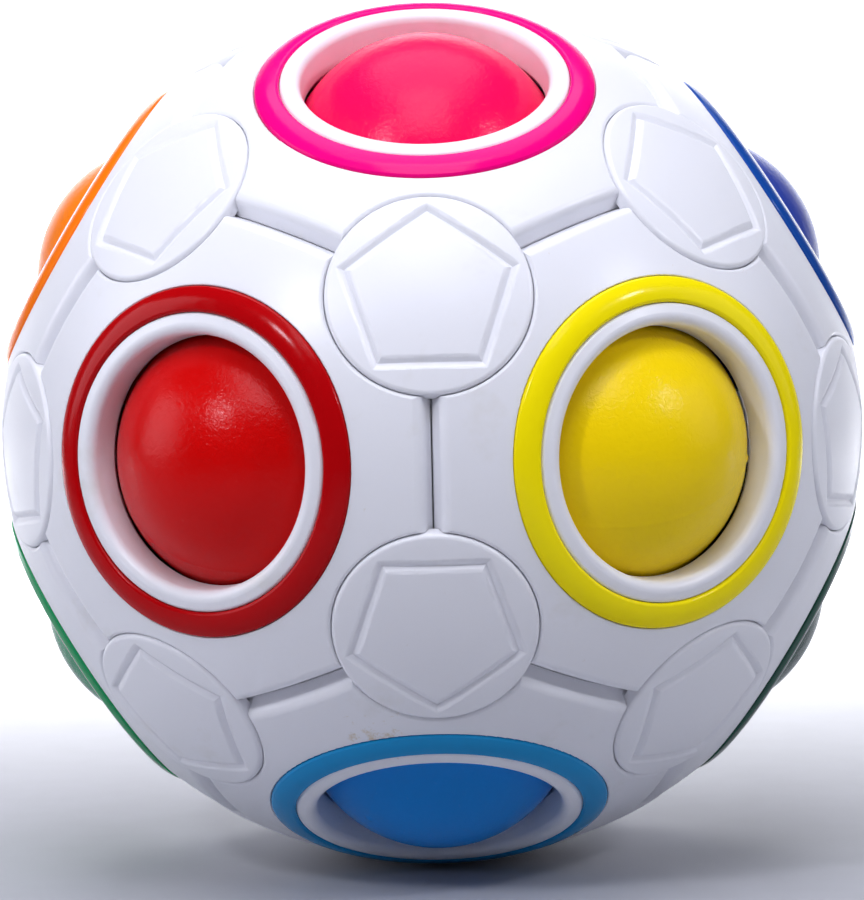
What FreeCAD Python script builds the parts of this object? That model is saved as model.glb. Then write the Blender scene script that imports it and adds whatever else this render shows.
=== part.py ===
"""A hand-held ball-shifting puzzle, laid out like a football.

Twelve pentagonal panels make a hollow sphere. Each panel has a round mouth with a coloured ring
let into it. A loose ball sits behind eleven of the mouths, and the twelfth is empty, so that a
ball pressed inwards can roll across to it. A round cap on each of the twenty corners pushes
into a three-armed clamp inside, which holds three panels together. A hollow core floats in the
middle and keeps the balls up in their mouths.

Millimetres, +Z up, with the origin at the centre of the sphere.
"""
import FreeCAD, Part
import itertools
import math
import os

# The sphere
outer_radius = 32.5        # outside of the white shell
joint_gap = 0.10           # between two panels, down in their joint

# The balls and the core
ball_gap = 3.68            # between two neighbouring balls at rest
ball_rise = 0.60           # how far a ball's top stands beyond the shell
ball_lift = 0.40           # play of a ball, outwards to its seat
ball_push = 1.70           # play of a ball, inwards to the core
throat_lip = 1.50          # ball radius less the radius of the throat that holds it
seat_depth = 0.52          # from the throat down to the inside of the shell
core_wall = 1.60
core_spigot_wall = 0.75
core_spigot_length = 1.50
core_fit = 0.05            # between spigot and socket

# The mouth of a panel and its ring
mouth_flare = 0.30         # growth in radius from throat to mouth
mouth_round = 0.65
collar_width = 1.36        # white band between mouth and ring
ring_width = 1.79
ring_depth = 1.25
ring_fit = 0.03            # joint line on each side of the ring
ring_rise = 0.08           # how far the ring's edges stand beyond the shell
ring_crown = 0.18          # how far its middle stands beyond its edges
ring_edge_round = 0.25
collar_round = 0.30        # edge of the white band beside the ring
seat_edge_round = 0.08     # edge of the shell beside the ring

# The joints between panels
groove_width = 1.50
groove_bottom_width = 0.16
groove_depth = 1.30
groove_edge_round = 0.80

# The corner caps
cap_land = 1.53            # white land between a ring and a cap
cap_gap = 0.05
cap_rise = 0.10            # how far the cap's dome stands beyond the shell
cap_thickness = 0.90       # at the rim
cap_edge_round = 0.32
recess_edge_round = 0.26
pentagon_margin = 1.06     # from the pentagon's points to the cap's edge
line_width = 0.76
line_depth = 0.28
line_bottom_width = 0.06
line_edge_round = 0.42

# The clamps under the corners
ledge_thickness = 0.80     # panel material between cap and clamp
clamp_thickness = 1.20
clamp_arm = 2.90           # from the corner's axis to each locating peg
clamp_lobe_radius = 1.45
clamp_hub_radius = 2.60
clamp_clearance = 0.20
peg_radius = 0.60
peg_fit = 0.06
stem_radius = 1.50
stem_fit = 0.02            # push fit of the stem in its clamp
stem_clearance = 0.25      # where the stem passes between the panels
bead_height = 0.60
bead_lip = 0.25
stem_slot = 0.50

# How the cutting tools are made
spare = 1.0                # by which a tool passes the face that it starts from
overrun = 1.25             # length of a groove's tool, over the length of the groove
tolerance = 1e-6

golden = (1 + math.sqrt(5)) / 2
empty_mouth = "white"
mouth_directions = {
    "red": (-1, -golden, 0),
    "yellow": (1, -golden, 0),
    "pink": (0, -1, golden),
    "light_blue": (0, -1, -golden),
    "orange": (-golden, 0, 1),
    "dark_blue": (golden, 0, 1),
    "green": (-golden, 0, -1),
    "dark_green": (golden, 0, -1),
    "purple": (-1, golden, 0),
    "lime": (0, 1, golden),
    "grey": (0, 1, -golden),
    "white": (1, golden, 0),
}

# Angles of the regular dodecahedron, seen from its centre
mouth_to_mouth = math.atan(2)
mouth_to_joint = mouth_to_mouth / 2
joint_half_length = math.asin(1 / (golden * math.sqrt(3)))
mouth_to_corner = math.acos(math.cos(mouth_to_joint) * math.cos(joint_half_length))

# Sizes that follow from those above
neighbour_chord = 2 * math.sin(mouth_to_joint)
ball_radius = (neighbour_chord * (outer_radius + ball_rise) - ball_gap) / (2 + neighbour_chord)
ball_orbit = outer_radius + ball_rise - ball_radius
core_radius = ball_orbit - ball_radius - ball_push
seat_height = ball_orbit + ball_lift
throat_radius = ball_radius - throat_lip
throat_height = seat_height + math.sqrt(ball_radius ** 2 - throat_radius ** 2)
inner_radius = math.hypot(throat_radius, throat_height) - seat_depth
mouth_radius = throat_radius + mouth_flare
ring_inner = mouth_radius + collar_width
ring_outer = ring_inner + ring_width
ring_angle = math.asin((ring_outer + ring_fit) / outer_radius)
recess_radius = outer_radius * math.sin(mouth_to_corner - ring_angle - cap_land / outer_radius)
cap_radius = recess_radius - cap_gap
cap_sphere = outer_radius + cap_rise
ring_sphere = outer_radius + ring_rise
above = outer_radius + spare


def on_sphere(radius, surface=outer_radius):
    """Height of a sphere over a point at this radius from the axis."""
    return math.sqrt(surface ** 2 - radius ** 2)


ring_floor = on_sphere(ring_outer) - ring_depth
recess_floor = on_sphere(recess_radius) - cap_thickness
ledge_floor = recess_floor - ledge_thickness
clamp_floor = ledge_floor - clamp_thickness
stem_end = clamp_floor - bead_height


def vector(*values):
    return FreeCAD.Vector(*values)


def unit(direction):
    result = vector(*direction)
    result.normalize()
    return result


def facing(axis, towards):
    """Placement that carries +Z to an axis and +X to the side where another direction lies."""
    side = towards - axis * towards.dot(axis)
    side.normalize()
    turn = FreeCAD.Rotation(side, axis.cross(side), axis, "ZXY")
    return FreeCAD.Placement(vector(0, 0, 0), turn)


def turned(shape, axis, degrees):
    copy = shape.copy()
    copy.rotate(vector(0, 0, 0), axis, degrees)
    return copy


def placed(shape, placement):
    copy = shape.copy()
    copy.Placement = placement.multiply(copy.Placement)
    return copy


def cylinder(radius, low, high, x=0.0, y=0.0):
    return Part.makeCylinder(radius, high - low, vector(x, y, low))


def tube(outer, inner, low, high):
    return cylinder(outer, low, high).cut(cylinder(inner, low - spare, high + spare))


def sphere(radius, height=0.0):
    """A sphere with its seam and poles turned away from +Z."""
    whole = turned(Part.makeSphere(radius), vector(0, 1, 0), 90)
    whole.translate(vector(0, 0, height))
    return whole


def edge_arc(foot, rise, material, size, surface):
    """Points of the arc that rounds the edge where a wall meets a sphere's surface.

    The wall goes through foot along rise, and material is its normal into the solid, all as
    (across, up). The arc touches the wall and the sphere, and runs from the sphere inwards.
    """
    across = foot[0] + size * material[0]
    up = foot[1] + size * material[1]
    along = across * rise[0] + up * rise[1]
    inside = surface - size
    step = -along + math.sqrt(along ** 2 - across ** 2 - up ** 2 + inside ** 2)
    centre = (across + step * rise[0], up + step * rise[1])
    start = (centre[0] * surface / inside, centre[1] * surface / inside)
    end = (centre[0] - size * material[0], centre[1] - size * material[1])
    middle = ((start[0] + end[0]) / 2 - centre[0], (start[1] + end[1]) / 2 - centre[1])
    reach = size / math.hypot(*middle)
    return start, (centre[0] + middle[0] * reach, centre[1] + middle[1] * reach), end


def profile(points):
    """A face in the XZ plane. A point given as a pair of points is an arc through the first."""
    edges = []
    corners = [(item[1] if isinstance(item[0], tuple) else item) for item in points]
    for index, item in enumerate(points):
        start = vector(corners[index - 1][0], 0, corners[index - 1][1])
        end = vector(corners[index][0], 0, corners[index][1])
        if isinstance(item[0], tuple):
            edges.append(Part.Arc(start, vector(item[0][0], 0, item[0][1]), end).toShape())
        else:
            edges.append(Part.LineSegment(start, end).toShape())
    return Part.Face(Part.Wire(edges))


def lathe(points):
    """The solid that a profile sweeps about +Z."""
    return profile(points).revolve(vector(0, 0, 0), vector(0, 0, 1), 360)


def pocket(radius, floor, edge_round):
    """Cutting tool for a round recess whose edge rolls over into the sphere."""
    start, middle, end = edge_arc((radius, floor), (0, 1), (1, 0), edge_round, outer_radius)
    return lathe([(0, floor), (radius, floor), end, (middle, start), (start[0], above), (0, above)])


def furrow(surface, width, bottom_width, depth, edge_round, half_length):
    """Cutting tool for a groove along a great circle, centred on +Z and running along Y."""
    half_top = width / 2
    half_bottom = bottom_width / 2
    slope = math.hypot(half_top - half_bottom, depth)
    rise = ((half_top - half_bottom) / slope, depth / slope)
    foot = (half_bottom, surface - depth)
    start, middle, end = edge_arc(foot, rise, (rise[1], -rise[0]), edge_round, surface)
    face = profile([
        foot, end, (middle, start), (start[0], above), (-start[0], above), (-start[0], start[1]),
        ((-middle[0], middle[1]), (-end[0], end[1])), (-foot[0], foot[1]),
    ])
    face = turned(face, vector(1, 0, 0), -math.degrees(half_length))
    return face.revolve(vector(0, 0, 0), vector(1, 0, 0), 2 * math.degrees(half_length))


def around(shape, first=0):
    """Five copies about +Z, with the first one turned by this many degrees."""
    return [turned(shape, vector(0, 0, 1), first + 72 * step) for step in range(5)]


def tipped(shape, angle):
    """Tilt from +Z towards +X."""
    return turned(shape, vector(0, 1, 0), math.degrees(angle))


def corner_rays(length, apex):
    """Ends of the five edges of a pentagonal cone, from its tip at this height."""
    rays = []
    for step in range(5):
        turn = math.radians(72 * step)
        flat = length * math.sin(mouth_to_corner)
        height = apex + length * math.cos(mouth_to_corner)
        rays.append(vector(flat * math.cos(turn), flat * math.sin(turn), height))
    return rays


def pentagonal_cone():
    """Everything nearer to +Z than to another mouth, less half the joint gap."""
    tip = vector(0, 0, joint_gap / 2 / math.sin(mouth_to_joint))
    rays = corner_rays(2 * outer_radius, tip.z)
    faces = [Part.Face(Part.makePolygon(rays + [rays[0]]))]
    for step in range(5):
        triangle = [tip, rays[step - 1], rays[step], tip]
        faces.append(Part.Face(Part.makePolygon(triangle)))
    return Part.makeSolid(Part.makeShell(faces))


def mouth_cut():
    """Throat, flare and the seat that a ball is held by."""
    span = above - throat_height
    slope = mouth_flare / (outer_radius - throat_height)
    flare = Part.makeCone(throat_radius, throat_radius + slope * span, span, vector(0, 0, throat_height))
    return flare.fuse(sphere(ball_radius, seat_height))


def ring_seat():
    """Cutting tool for the groove that takes the coloured ring, with both its edges rounded."""
    outer = ring_outer + ring_fit
    inner = ring_inner - ring_fit
    up = (0, 1)
    out_start, out_middle, out_end = edge_arc((outer, ring_floor), up, (1, 0), seat_edge_round, outer_radius)
    in_start, in_middle, in_end = edge_arc((inner, ring_floor), up, (-1, 0), collar_round, outer_radius)
    return lathe([
        (outer, ring_floor), out_end, (out_middle, out_start), (out_start[0], above),
        (in_start[0], above), in_start, (in_middle, in_end), (inner, ring_floor),
    ])


def make_panel():
    """A panel facing +Z, with one corner towards +X."""
    wall = sphere(outer_radius).cut(sphere(inner_radius))
    panel = wall.common(pentagonal_cone())
    groove = furrow(outer_radius, groove_width, groove_bottom_width, groove_depth, groove_edge_round,
                    overrun * joint_half_length)
    clamp_reach = clamp_arm + clamp_lobe_radius + clamp_clearance
    clamp_room = cylinder(clamp_reach, clamp_floor - clamp_thickness, ledge_floor)
    stem_room = cylinder(stem_radius + stem_clearance, clamp_floor, above)
    corner = pocket(recess_radius, recess_floor, recess_edge_round).fuse([clamp_room, stem_room])
    tools = around(tipped(groove, mouth_to_joint), 36)
    tools += around(tipped(corner, mouth_to_corner))
    tools += [mouth_cut(), ring_seat()]
    for tool in tools:
        panel = panel.cut(tool)
    lip = [edge for edge in panel.Edges if is_lip(edge)]
    panel = panel.makeFillet(mouth_round, lip)
    peg = cylinder(peg_radius, clamp_floor, ledge_floor + ledge_thickness / 2, x=-clamp_arm)
    return panel.fuse(around(tipped(peg, mouth_to_corner))).removeSplitter()


def is_lip(edge):
    """Whether this is the circle where the flare comes out through the sphere."""
    curve = edge.Curve
    if not isinstance(curve, Part.Circle):
        return False
    close = abs(curve.Radius - mouth_radius) < mouth_flare
    return close and curve.Center.z > throat_height + mouth_flare


def make_ring():
    """A coloured ring whose crowned top stands a little proud of the shell."""
    bottom = ring_floor + ring_fit
    middle = (ring_inner + ring_outer) / 2
    crown = (middle, on_sphere(middle, ring_sphere + ring_crown))
    ring = lathe([
        (ring_inner, bottom), (ring_outer, bottom), (ring_outer, on_sphere(ring_outer, ring_sphere)),
        (crown, (ring_inner, on_sphere(ring_inner, ring_sphere))),
    ])
    return ring.makeFillet(ring_edge_round, [edge for edge in ring.Edges if is_top(edge, bottom)])


def is_top(edge, bottom):
    """Whether this is a circle about the axis and above the bottom."""
    curve = edge.Curve
    if not isinstance(curve, Part.Circle):
        return False
    return math.hypot(curve.Center.x, curve.Center.y) < tolerance and curve.Center.z > bottom + tolerance


def make_pentagon_line():
    """Cutting tool for the pentagon, with one point towards +X."""
    point = math.asin((cap_radius - pentagon_margin) / cap_sphere)
    middle = math.atan(math.tan(point) * math.cos(math.radians(36)))
    half_side = math.acos(math.cos(point) / math.cos(middle))
    side = furrow(cap_sphere, line_width, line_bottom_width, line_depth, line_edge_round,
                  overrun * half_side)
    side = turned(tipped(side, middle), vector(0, 0, 1), 36)
    reach = 2 * cap_radius
    fifth = math.radians(72)
    corner = vector(reach * math.cos(fifth), reach * math.sin(fifth), 0)
    outline = [vector(0, 0, 0), vector(reach, 0, 0), corner, vector(0, 0, 0)]
    side = side.common(Part.Face(Part.makePolygon(outline)).extrude(vector(0, 0, 2 * above)))
    sides = around(side)
    return sides[0].fuse(sides[1:])


def make_cap():
    """A domed cap facing +Z, with its pentagon, stem and snap bead."""
    disc = cylinder(cap_radius, recess_floor, above).common(sphere(cap_sphere))
    rim = []
    for edge in disc.Edges:
        if isinstance(edge.Curve, Part.Circle) and edge.Curve.Center.z > recess_floor + cap_edge_round:
            if abs(edge.Curve.Radius - cap_radius) < tolerance:
                rim.append(edge)
    disc = disc.makeFillet(cap_edge_round, rim)
    disc = disc.cut(make_pentagon_line())
    bead_radius = stem_radius + bead_lip
    bead_top = clamp_floor - stem_fit
    stem_top = recess_floor + cap_thickness / 2
    stem = lathe([
        (0, stem_end), (stem_radius - bead_lip, stem_end), (bead_radius, bead_top - bead_lip),
        (bead_radius, bead_top), (stem_radius, bead_top), (stem_radius, stem_top), (0, stem_top),
    ])
    slot_width = 2 * bead_radius + spare
    slot = Part.makeBox(stem_slot, slot_width, ledge_floor - stem_end,
                        vector(-stem_slot / 2, -slot_width / 2, stem_end))
    return disc.fuse(stem.cut(slot)).removeSplitter()


def make_clamp():
    """A three-armed clamp under a corner, with one arm towards +X."""
    body = cylinder(clamp_hub_radius, clamp_floor, ledge_floor)
    bottom = clamp_floor - spare
    top = ledge_floor + spare
    holes = [cylinder(stem_radius + stem_fit, bottom, top)]
    for step in range(3):
        turn = math.radians(120 * step)
        x = clamp_arm * math.cos(turn)
        y = clamp_arm * math.sin(turn)
        body = body.fuse(cylinder(clamp_lobe_radius, clamp_floor, ledge_floor, x, y))
        holes.append(cylinder(peg_radius + peg_fit, bottom, top, x, y))
    return body.removeSplitter().cut(holes)


def make_core():
    """The two halves of the hollow core, joined by a spigot at its equator."""
    hollow = core_radius - core_wall
    shell = Part.makeSphere(core_radius).cut(Part.makeSphere(hollow))
    size = 2 * core_radius
    above_equator = Part.makeBox(size, size, size, vector(-core_radius, -core_radius, 0))
    upper = shell.common(above_equator)
    lower = shell.cut(above_equator)
    spigot_radius = hollow + core_spigot_wall
    upper = upper.fuse(tube(spigot_radius, hollow, -core_spigot_length, core_wall / 2)).removeSplitter()
    socket_floor = -core_spigot_length - core_fit
    lower = lower.cut(cylinder(spigot_radius + core_fit, socket_floor, core_fit))
    lower = lower.cut(cylinder(size, -core_fit, core_fit))
    return upper, lower


def adjacent(first, second):
    return abs(mouths[first].dot(mouths[second]) - math.cos(mouth_to_mouth)) < tolerance


def pointed_mouth(corner):
    """The mouth that a cap's pentagon points to: the lowest of three, or the odd one out."""
    floor = min(mouths[name].z for name in corner)
    lowest = [name for name in corner if mouths[name].z < floor + tolerance]
    if len(lowest) == 1:
        return lowest[0]
    return [name for name in corner if name not in lowest][0]


def write(shape, name):
    shape.exportStep(f"parts/{name}.step")


os.makedirs("parts", exist_ok=True)
mouths = {name: unit(direction) for name, direction in mouth_directions.items()}
corners = [three for three in itertools.combinations(mouths, 3)
           if all(adjacent(*pair) for pair in itertools.combinations(three, 2))]
corners.sort(key=lambda three: round(-sum(mouths[name].z for name in three) / tolerance))

panel = make_panel()
ring = make_ring()
ball = sphere(ball_radius, ball_orbit)
cap = make_cap()
clamp = make_clamp()

for name, axis in mouths.items():
    touching = [corner for corner in corners if name in corner]
    first_corner = mouths[touching[0][0]] + mouths[touching[0][1]] + mouths[touching[0][2]]
    place = facing(axis, first_corner)
    write(placed(panel, place), f"panel_{name}")
    write(placed(ring, place), f"ring_{name}")
    if name != empty_mouth:
        write(placed(ball, place), f"ball_{name}")

clamps = []
for number, corner in enumerate(corners, start=1):
    axis = mouths[corner[0]] + mouths[corner[1]] + mouths[corner[2]]
    axis.normalize()
    write(placed(cap, facing(axis, mouths[pointed_mouth(corner)])), f"corner_cap_{number:02d}")
    clamps.append(placed(clamp, facing(axis, mouths[corner[0]])))
write(Part.makeCompound(clamps), "corner_clamps")

upper_core, lower_core = make_core()
write(upper_core, "core_upper")
write(lower_core, "core_lower")

print("ball radius", round(ball_radius, 3), "orbit", round(ball_orbit, 3), "core", round(core_radius, 3))
print("mouth", round(mouth_radius, 3), "ring", round(ring_inner, 3), "to", round(ring_outer, 3))
print("inside of the shell", round(inner_radius, 3), "cap radius", round(cap_radius, 3))
for name, shape in (("panel", panel), ("ring", ring), ("cap", cap), ("clamp", clamp)):
    print(name, "volume", round(shape.Volume, 2), "valid", shape.isValid(), "solids", len(shape.Solids))
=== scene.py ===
import math

import bpy
import numpy as np
from mathutils import Matrix, Vector


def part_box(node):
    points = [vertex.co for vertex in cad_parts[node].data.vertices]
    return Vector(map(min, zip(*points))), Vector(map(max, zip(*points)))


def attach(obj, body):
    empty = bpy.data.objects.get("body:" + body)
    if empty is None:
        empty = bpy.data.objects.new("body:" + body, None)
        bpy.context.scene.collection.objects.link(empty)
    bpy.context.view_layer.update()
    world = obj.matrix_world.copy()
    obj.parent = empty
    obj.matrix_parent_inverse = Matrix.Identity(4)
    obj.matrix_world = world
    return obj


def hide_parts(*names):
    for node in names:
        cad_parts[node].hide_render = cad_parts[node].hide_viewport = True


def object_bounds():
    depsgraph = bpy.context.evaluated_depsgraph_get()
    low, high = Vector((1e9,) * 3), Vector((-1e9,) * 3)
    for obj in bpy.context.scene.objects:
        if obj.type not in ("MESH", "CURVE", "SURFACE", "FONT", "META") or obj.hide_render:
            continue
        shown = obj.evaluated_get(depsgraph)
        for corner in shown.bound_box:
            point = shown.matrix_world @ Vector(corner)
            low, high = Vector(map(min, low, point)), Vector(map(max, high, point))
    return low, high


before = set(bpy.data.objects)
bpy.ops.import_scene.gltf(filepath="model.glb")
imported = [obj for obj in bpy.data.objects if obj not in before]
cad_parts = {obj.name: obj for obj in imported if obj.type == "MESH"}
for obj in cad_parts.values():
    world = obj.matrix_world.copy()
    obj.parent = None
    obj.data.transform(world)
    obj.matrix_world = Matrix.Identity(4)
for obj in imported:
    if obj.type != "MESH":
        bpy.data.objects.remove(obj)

cad_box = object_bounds()

# ---------------------------------------------------------------------------
# Camera: in front of the ball and a little above its middle, with a long lens
# held close, so that the mouths to each side turn clearly away.
# ---------------------------------------------------------------------------
sensor_width = 36.0
camera_lens = 138.7
camera_distance = 0.26444
camera_drop = 0.0014564
camera_slide = 0.0000175
camera_lift = 4.37             # degrees above the ball's middle
camera_pan = 0.11              # degrees round the ball
camera_roll = 1.2              # degrees about the line of sight
nearest_seen = 0.01

scene = bpy.context.scene
camera = bpy.data.objects.new("camera", bpy.data.cameras.new("camera"))
scene.collection.objects.link(camera)
scene.camera = camera
camera.data.sensor_width = sensor_width
camera.data.lens = camera_lens
camera.data.clip_start = nearest_seen
camera_turn = (Matrix.Rotation(math.radians(camera_pan), 4, "Z")
               @ Matrix.Rotation(math.radians(90 - camera_lift), 4, "X")
               @ Matrix.Rotation(math.radians(-camera_roll), 4, "Z"))
camera_place = camera_turn @ Vector((-camera_slide, -camera_drop, camera_distance))
camera.matrix_world = Matrix.Translation(camera_place) @ camera_turn

# ---------------------------------------------------------------------------
# Studio: the ball stands on a sweep of matt card that curves up behind it.
# Six softboxes hang close round its front, and two with grids wash the floor and
# the wall behind it and leave its back alone.
# ---------------------------------------------------------------------------


def linear(hex_colour):
    """Linear RGBA from sRGB hex: the sRGB curve is undone for each channel."""
    srgb = np.array([int(hex_colour[at:at + 2], 16) for at in (0, 2, 4)]) / 255
    channels = np.where(srgb <= 0.04045, srgb / 12.92, ((srgb + 0.055) / 1.055) ** 2.4)
    return (*(float(channel) for channel in channels), 1.0)


def hang_softbox(name, place, aim, width, height, watts, colour, spread=180):
    """A rectangular area light at a place, facing another, with a grid that narrows its
    spread to an angle in degrees."""
    lamp = bpy.data.objects.new(name, bpy.data.lights.new(name, "AREA"))
    lamp.data.shape = "RECTANGLE"
    lamp.data.size = width
    lamp.data.size_y = height
    lamp.data.energy = watts
    lamp.data.color = linear(colour)[:3]
    lamp.data.spread = math.radians(spread)
    lamp.location = place
    lamp.rotation_euler = (Vector(aim) - Vector(place)).to_track_quat("-Z", "Y").to_euler()
    scene.collection.objects.link(lamp)


daylight = "f2f4ff"
plain_white = "ffffff"
ball_middle = (0, 0, 0)
hang_softbox("overhead_softbox", (0, -0.01, 0.17), ball_middle, 0.16, 0.16, 0.185, daylight)
hang_softbox("front_softbox", (0, -0.12, 0.15), ball_middle, 0.10, 0.10, 0.150, daylight)
hang_softbox("upper_left_softbox", (-0.095, -0.142, 0.105), ball_middle, 0.020, 0.023, 0.092, daylight)
hang_softbox("upper_right_softbox", (0.144, -0.096, 0.102), ball_middle, 0.017, 0.020, 0.068, daylight)
hang_softbox("left_softbox", (-0.20, -0.03, 0.06), ball_middle, 0.12, 0.12, 0.125, daylight)
hang_softbox("right_softbox", (0.20, -0.03, 0.06), ball_middle, 0.12, 0.12, 0.045, daylight)
hang_softbox("backdrop_softbox", (0, 0.30, 0.55), (0, 0.95, 0.10), 0.90, 0.30, 15.0, plain_white, spread=120)
hang_softbox("floor_softbox", (0, 0.34, 0.24), (0, 0.25, -0.03), 0.60, 0.16, 3.4, plain_white, spread=60)

room_brightness = 0.05
room = bpy.data.worlds.new("dim_room")
room.use_nodes = True
room.node_tree.nodes["Background"].inputs["Color"].default_value = linear(daylight)
room.node_tree.nodes["Background"].inputs["Strength"].default_value = room_brightness
scene.world = room
scene.view_settings.view_transform = "Standard"


def grid_mesh(name, points, wrap_across=False):
    """A smooth mesh over an (across, along, xyz) array of points: every four neighbours
    make a quad, and when wrapped the last row across is joined to the first."""
    across, along = points.shape[:2]
    index = np.arange(across * along).reshape(across, along)
    if wrap_across:
        index = np.vstack([index, index[:1]])
    quads = np.stack([index[:-1, :-1], index[1:, :-1], index[1:, 1:], index[:-1, 1:]], axis=-1)
    mesh = bpy.data.meshes.new(name)
    mesh.from_pydata(points.reshape(-1, 3).tolist(), [], quads.reshape(-1, 4).tolist())
    mesh.shade_smooth()
    return mesh


def sweep_points(level, half_width, front, flat, bend_radius, wall):
    """Points of a sweep of card: straight for a flat length, then a quarter turn of the
    bend radius, then straight up, with the same section at both sides."""
    turn = np.linspace(0, math.pi / 2, 33)
    depth = np.concatenate([[front], front + flat + bend_radius * np.sin(turn), [front + flat + bend_radius]])
    rise = np.concatenate([[0], bend_radius * (1 - np.cos(turn)), [bend_radius + wall]]) + level
    section = np.stack([depth, rise], axis=1)
    side = np.array([-half_width, half_width])[:, None, None] * np.ones((2, len(section), 1))
    return np.concatenate([side, np.broadcast_to(section, (2, *section.shape))], axis=2)


card_sweep = bpy.data.objects.new("card_sweep", grid_mesh("card_sweep", sweep_points(
    cad_box[0][2], half_width=1.8, front=-1.3, flat=1.75, bend_radius=0.5, wall=1.2)))
scene.collection.objects.link(card_sweep)


def plug(material, node, inputs):
    """Fill a node's inputs with values or with other nodes' sockets."""
    for socket, value in inputs.items():
        if isinstance(value, bpy.types.NodeSocket):
            material.node_tree.links.new(value, node.inputs[socket])
        else:
            node.inputs[socket].default_value = value


def add_node(material, kind, inputs, **settings):
    """Add a node with its settings, and fill its inputs."""
    node = material.node_tree.nodes.new(kind)
    for setting, value in settings.items():
        setattr(node, setting, value)
    plug(material, node, inputs)
    return node


def start_material(name):
    """A new node material, with its shader and the socket of object coordinates."""
    material = bpy.data.materials.new(name)
    material.use_nodes = True
    spot = add_node(material, "ShaderNodeTexCoord", {}).outputs["Object"]
    return material, material.node_tree.nodes["Principled BSDF"], spot


def noise(material, spot, size, detail, roughness=0.5, distortion=0.0):
    """Noise whose largest grains are about this size."""
    return add_node(material, "ShaderNodeTexNoise", {
        "Vector": spot, "Scale": 1 / size, "Detail": detail, "Roughness": roughness,
        "Distortion": distortion}).outputs["Fac"]


def remap(material, value, low, high, to_low, to_high):
    """A value moved from one range to another, and kept within it."""
    return add_node(material, "ShaderNodeMapRange", {
        "Value": value, "From Min": low, "From Max": high, "To Min": to_low,
        "To Max": to_high}).outputs["Result"]


def blend(material, factor, first, second):
    """The first colour where the factor is 0 and the second where it is 1."""
    return add_node(material, "ShaderNodeMix", {0: factor, 6: first, 7: second}, data_type="RGBA").outputs[2]


def relief(material, pattern, height, under=None):
    """Normals bent by a pattern of this height, over those of another relief if one is given."""
    inputs = {"Strength": 1.0, "Distance": height, "Height": pattern}
    if under is not None:
        inputs["Normal"] = under
    return add_node(material, "ShaderNodeBump", inputs).outputs["Normal"]


# Matt card: soft paper pulp, rolled flat, with no gloss and a faint mottle.
mottle_size = 0.004
card, card_shader, card_spot = start_material("matt_card_rolled")
mottle = noise(card, card_spot, mottle_size, detail=3.0)
plug(card, card_shader, {
    "Base Color": blend(card, mottle, linear("b5b6bb"), linear("bbbcc2")),
    "Roughness": 0.9,
})
card_sweep.data.materials.append(card)

# ---------------------------------------------------------------------------
# Panels and caps of the shell: twelve pentagonal panels and twenty round caps,
# moulded in white ABS. The caps push in at the corners and clamp the panels.
# ---------------------------------------------------------------------------
grain_size = 0.00045
grain_height = 0.000005
ripple_size = 0.007
ripple_height = 0.00004
smudge_size = 0.009
stain_grain_size = 0.0009
stain_place = (-0.0044, -0.0258, -0.0192)
stain_reach = 0.0040
milky_depth = 0.0007
clean_white = "ededf2"
handled_white = "e2e0de"
stain_tan = "c9b48c"

# White ABS from a fine-blasted mould: satin, a little milky at thin edges, with
# a faint grain, slow sink ripples over the wall, dull spots from handling, and one
# tan stain of grains rubbed in beside the light blue ring.
white_abs, abs_shader, abs_spot = start_material("white_abs_satin_moulded")
grain = noise(white_abs, abs_spot, grain_size, detail=2.0, roughness=0.6)
ripple = noise(white_abs, abs_spot, ripple_size, detail=1.0, roughness=0.4)
handling = noise(white_abs, abs_spot, smudge_size, detail=5.0, roughness=0.65)
stain_grains = noise(white_abs, abs_spot, stain_grain_size, detail=4.0, roughness=0.7)
smudged = blend(white_abs, remap(white_abs, handling, 0.60, 0.80, 0.0, 1.0), linear(clean_white),
                linear(handled_white))
from_stain = add_node(white_abs, "ShaderNodeVectorMath", {0: abs_spot, 1: stain_place}, operation="DISTANCE")
stain_fade = remap(white_abs, from_stain.outputs["Value"], 0.0, stain_reach, 0.14, -0.10)
stain_level = add_node(white_abs, "ShaderNodeMath", {0: stain_grains, 1: stain_fade}, operation="ADD")
stain = remap(white_abs, stain_level.outputs["Value"], 0.60, 0.76, 0.0, 0.75)
ripple_relief = relief(white_abs, ripple, ripple_height)
plug(white_abs, abs_shader, {
    "Base Color": blend(white_abs, stain, smudged, linear(stain_tan)),
    "Roughness": remap(white_abs, handling, 0.25, 0.75, 0.29, 0.40),
    "Normal": relief(white_abs, grain, grain_height, under=ripple_relief),
    "IOR": 1.53,
    "Subsurface Weight": 0.25,
    "Subsurface Radius": (1.0, 0.95, 0.9),
    "Subsurface Scale": milky_depth,
})

for name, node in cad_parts.items():
    if name.startswith(("panel_", "corner_cap_")):
        node.data.materials.clear()
        node.data.materials.append(white_abs)

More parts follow.
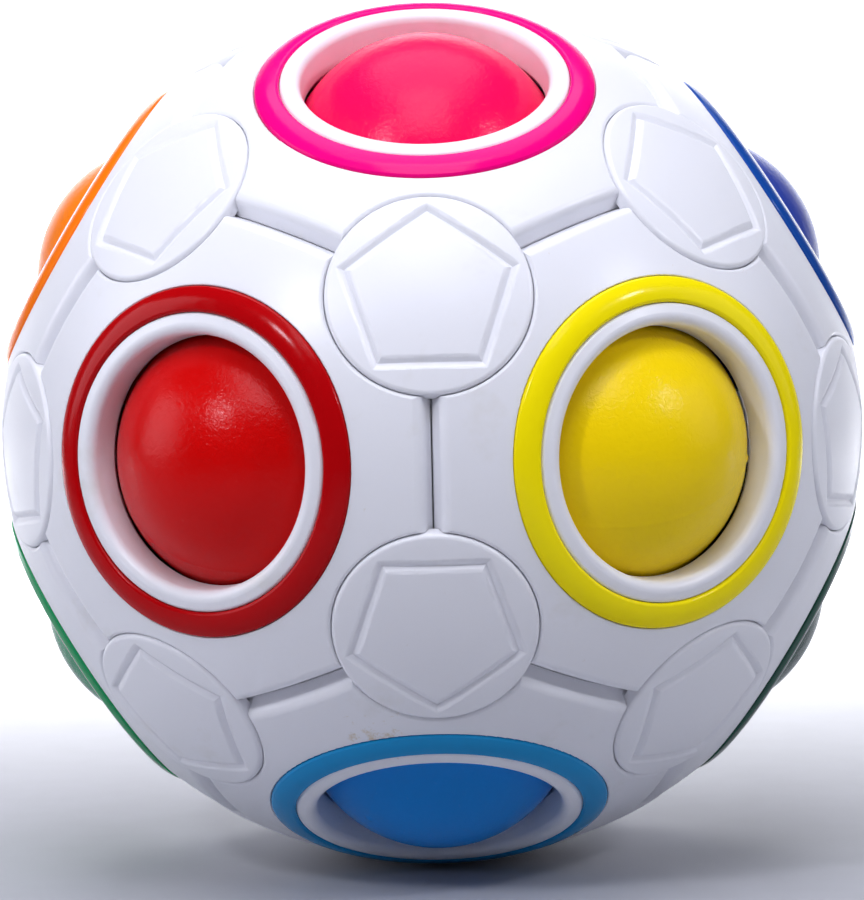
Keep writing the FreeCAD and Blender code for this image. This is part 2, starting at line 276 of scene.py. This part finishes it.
# ---------------------------------------------------------------------------
# Rings: one coloured ring pressed into the seat round each mouth, moulded in
# glossy ABS, with a crowned top that stands a little proud of the shell.
# ---------------------------------------------------------------------------
wave_size = 0.0016
wave_height = 0.000022
dull_spot_size = 0.0009
ring_colours = {
    "red": "b4040a", "yellow": "ffea0a", "pink": "fa0680", "light_blue": "1f8ec8",
    "orange": "ff7a10", "dark_blue": "16489a", "green": "1e965a", "dark_green": "1f4a3c",
    "purple": "7a2e9a", "lime": "8ccf2c", "grey": "8a8d92", "white": "f0f0f4",
}
for colour_name, colour in ring_colours.items():
    # Coloured ABS from a polished mould: glossy, with slow waves left by shrinkage
    # that break up its highlights, and fine dulling from fingers.
    gloss_abs, gloss_shader, ring_spot = start_material(f"{colour_name}_abs_gloss_moulded")
    wave = noise(gloss_abs, ring_spot, wave_size, detail=2.0)
    dulling = noise(gloss_abs, ring_spot, dull_spot_size, detail=4.0, roughness=0.6)
    plug(gloss_abs, gloss_shader, {
        "Base Color": linear(colour),
        "Roughness": remap(gloss_abs, dulling, 0.3, 0.7, 0.12, 0.20),
        "Normal": relief(gloss_abs, wave, wave_height),
        "IOR": 1.53,
        "Specular IOR Level": 0.11,
    })
    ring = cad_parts[f"ring_{colour_name}"]
    ring.data.materials.clear()
    ring.data.materials.append(gloss_abs)

# ---------------------------------------------------------------------------
# Balls: eleven loose balls, moulded in two halves in coloured polypropylene. A
# fine seam runs round each one, with the stub of its gate on the seam.
# ---------------------------------------------------------------------------
ball_radius = 0.0102
seam_height = 0.000022
seam_half_width = 0.00016
gate_height = 0.00009
gate_radius = 0.00028
gate_dish_depth = 0.00003
gate_dish_radius = 0.0011
gate_patch = 0.16              # radians from the gate over which points are packed closer
seam_patch = 0.07              # radians from the seam over which points are packed closer


def ball_points(centre, gate, seam_normal):
    """Points of a ball by angle round its seam and angle from the seam, both packed closer
    near the gate and the seam. The radius is the ball's, plus a bell curve of the height
    above the seam, plus a bell of the distance from the gate for the stub, less a wider
    one for the dish round it."""
    near_gate = np.linspace(0, 1, 14, endpoint=False) * gate_patch
    half_turn = np.concatenate([near_gate, np.linspace(gate_patch, math.pi, 70)])
    around_seam = np.concatenate([half_turn, 2 * math.pi - half_turn[-2:0:-1]])
    near_seam = np.linspace(0, 1, 12, endpoint=False) * seam_patch
    rise = np.concatenate([near_seam, np.linspace(seam_patch, math.pi / 2, 48)])
    from_seam = np.concatenate([-rise[:0:-1], rise])
    turn, lift = np.meshgrid(around_seam, from_seam, indexing="ij")
    side = np.cross(seam_normal, gate)
    way = (np.cos(lift) * np.cos(turn))[..., None] * gate + (np.cos(lift) * np.sin(turn))[..., None] * side
    way = way + np.sin(lift)[..., None] * seam_normal
    above_seam = ball_radius * np.sin(lift)
    from_gate = ball_radius * np.linalg.norm(way - gate, axis=-1)
    radius = ball_radius + seam_height * np.exp(-(above_seam / seam_half_width) ** 2)
    radius = radius + gate_height * np.exp(-(from_gate / gate_radius) ** 4)
    radius = radius - gate_dish_depth * np.exp(-(from_gate / gate_dish_radius) ** 4)
    return centre + radius[..., None] * way


ball_colours = {
    "red": "d20606", "yellow": "ffda0a", "pink": "f80c58", "light_blue": "1284d8",
    "orange": "ff8210", "dark_blue": "2e429c", "green": "2f8a60", "dark_green": "22463c",
    "purple": "742c92", "lime": "84c22a", "grey": "84878c",
}
# Where each ball came to rest: the way its gate points, and which way its seam lies.
ball_turns = {
    "red": ((-0.75, -0.35, -0.55), (0.3, -0.4, 0.85)), "yellow": ((0.985, -0.12, -0.09), (0.1, -0.5, 0.9)),
    "pink": ((0.6, 0.2, 0.77), (0.5, -0.8, 0.1)), "light_blue": ((-0.5, -0.5, -0.7), (0.8, -0.2, -0.4)),
    "orange": ((-0.4, -0.7, 0.6), (-0.5, 0.6, 0.6)), "dark_blue": ((0.9, 0.3, -0.2), (0.2, -0.3, 0.9)),
    "green": ((-0.8, 0.5, -0.3), (0.3, 0.2, 0.9)), "dark_green": ((0.1, 0.9, -0.4), (0.9, -0.2, 0.3)),
    "purple": ((-0.9, 0.4, 0.2), (0.1, 0.8, -0.6)), "lime": ((0.1, 0.9, 0.4), (0.9, 0.0, 0.5)),
    "grey": ((-0.3, 0.3, -0.9), (0.6, 0.7, 0.2)),
}
peel_size = 0.00040
peel_height = 0.00004
wear_size = 0.004
hairline_width = 0.0004
hairline_length = 0.009
hairline_turn = (0.5, 0.9, 0.3)  # radians

for colour_name, (gate, seam_normal) in ball_turns.items():
    low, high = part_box(f"ball_{colour_name}")
    centre = (np.array(low) + np.array(high)) / 2
    gate = np.array(gate) / np.linalg.norm(gate)
    seam_normal = seam_normal - gate * np.dot(seam_normal, gate)
    seam_normal = seam_normal / np.linalg.norm(seam_normal)
    mesh = grid_mesh(f"loose_ball_{colour_name}", ball_points(centre, gate, seam_normal), wrap_across=True)
    ball = bpy.data.objects.new(f"loose_ball_{colour_name}", mesh)
    scene.collection.objects.link(ball)
    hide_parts(f"ball_{colour_name}")
    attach(ball, f"ball_{colour_name}")

    # Coloured polypropylene from a plain mould: satin, with an orange-peel skin, a few
    # fine scratches from rolling in the shell, and paler scuffs where it rubbed.
    satin_pp, satin_shader, ball_spot = start_material(f"{colour_name}_polypropylene_satin")
    peel = noise(satin_pp, ball_spot, peel_size, detail=3.0, roughness=0.6, distortion=0.8)
    wear = noise(satin_pp, ball_spot, wear_size, detail=5.0, roughness=0.7)
    stretched = add_node(satin_pp, "ShaderNodeMapping", {
        "Vector": ball_spot, "Rotation": hairline_turn,
        "Scale": (1 / hairline_width, 1 / hairline_length, 1 / hairline_width)})
    hairlines = noise(satin_pp, stretched.outputs["Vector"], 1.0, detail=1.0)
    scratch = remap(satin_pp, hairlines, 0.74, 0.80, 0.0, 0.12)
    scuff = remap(satin_pp, wear, 0.55, 0.85, 0.0, 0.03)
    worn = add_node(satin_pp, "ShaderNodeMath", {0: scratch, 1: scuff}, operation="MAXIMUM")
    deep = linear(ball_colours[colour_name])
    pale = (*(channel * 0.9 + 0.06 for channel in deep[:3]), 1.0)
    plug(satin_pp, satin_shader, {
        "Base Color": blend(satin_pp, worn.outputs["Value"], deep, pale),
        "Roughness": remap(satin_pp, wear, 0.3, 0.7, 0.19, 0.25),
        "Normal": relief(satin_pp, peel, peel_height),
        "IOR": 1.49,
        "Specular IOR Level": 0.16,
    })
    mesh.materials.append(satin_pp)

# ---------------------------------------------------------------------------
# Inside: the three-armed clamps under the corners, and the hollow core that
# floats between the balls, both moulded in plain white polypropylene.
# ---------------------------------------------------------------------------
mould_mark_size = 0.0006
mould_mark_height = 0.00002

# Natural polypropylene straight from a rough mould: waxy white and dull.
waxy_pp, waxy_shader, waxy_spot = start_material("natural_polypropylene_waxy")
mould_marks = noise(waxy_pp, waxy_spot, mould_mark_size, detail=3.0, roughness=0.6)
plug(waxy_pp, waxy_shader, {
    "Base Color": blend(waxy_pp, mould_marks, linear("e6e6e4"), linear("dededa")),
    "Roughness": 0.55,
    "Normal": relief(waxy_pp, mould_marks, mould_mark_height),
    "IOR": 1.49,
})
for name in ("corner_clamps", "core_upper", "core_lower"):
    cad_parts[name].data.materials.clear()
    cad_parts[name].data.materials.append(waxy_pp)
